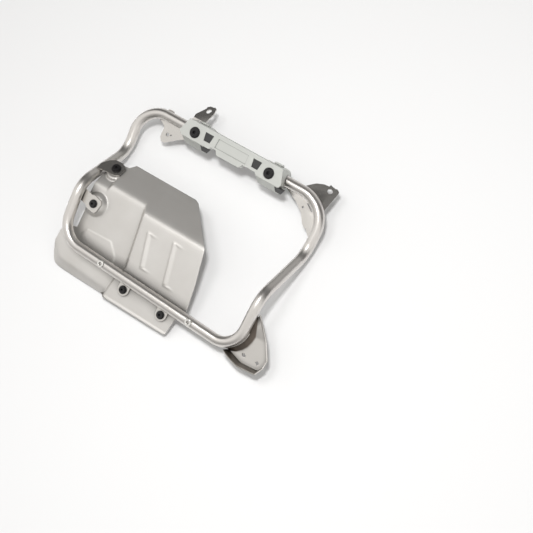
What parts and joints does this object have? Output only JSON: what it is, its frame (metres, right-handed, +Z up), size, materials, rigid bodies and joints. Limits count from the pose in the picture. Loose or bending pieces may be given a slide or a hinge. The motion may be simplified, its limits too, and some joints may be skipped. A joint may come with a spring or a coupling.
{
  "type": "motorbike pannier frame",
  "caption": "Bent tube frame that carries a motorbike pannier, with a cast clamp bar, sheet brackets, a lower mounting gusset and a heat shield over the silencer.",
  "frame": {"origin": "midway between the two bolt holes of the lower gusset, on the outer face of the gusset's floor", "axes": "+X towards the front of the bike, along the frame; +Y inboard, away from the pannier; +Z up"},
  "size_m": [0.4406, 0.1386, 0.3541],
  "materials": {
    "tube": "satin stainless tube, brushed round the tube",
    "bracket_sheet": "satin stainless sheet, welded to the tube",
    "shield": "satin stainless sheet, pressed, with a fine straight grain",
    "casting": "bead-blasted die casting, pale grey",
    "black_steel": "black oxide, semi-gloss",
    "black_plastic": "black moulded plastic",
    "nut_steel": "plain stainless",
    "turned_steel": "bright turned stainless"
  },
  "bodies": {
    "root": {"ring_tube": "tube", "clamp_bar": "casting", "rear_jaw_left": "casting", "rear_jaw_right": "casting", "clamp_screw_left": "black_steel", "clamp_screw_right": "black_steel", "clamp_nut_left": "black_steel", "clamp_nut_right": "black_steel", "window_plug_left": "black_plastic", "window_plug_right": "black_plastic", "jaw_wedge_left": "black_plastic", "jaw_wedge_right": "black_plastic", "rear_bracket": "bracket_sheet", "front_bracket": "bracket_sheet", "gusset": "bracket_sheet", "heat_shield": "shield", "shield_tab_upper": "bracket_sheet", "shield_tab_side": "bracket_sheet", "shield_tab_lower_rear": "bracket_sheet", "shield_tab_lower_front": "bracket_sheet", "shield_screw_upper": "black_steel", "shield_screw_side": "black_steel", "shield_screw_lower_rear": "black_steel", "shield_screw_lower_front": "black_steel", "shield_nut_upper": "nut_steel", "shield_nut_side": "nut_steel", "shield_nut_lower_rear": "nut_steel", "shield_nut_lower_front": "nut_steel", "locating_insert_rear": "turned_steel", "locating_insert_front": "turned_steel"}
  },
  "joints": []
}
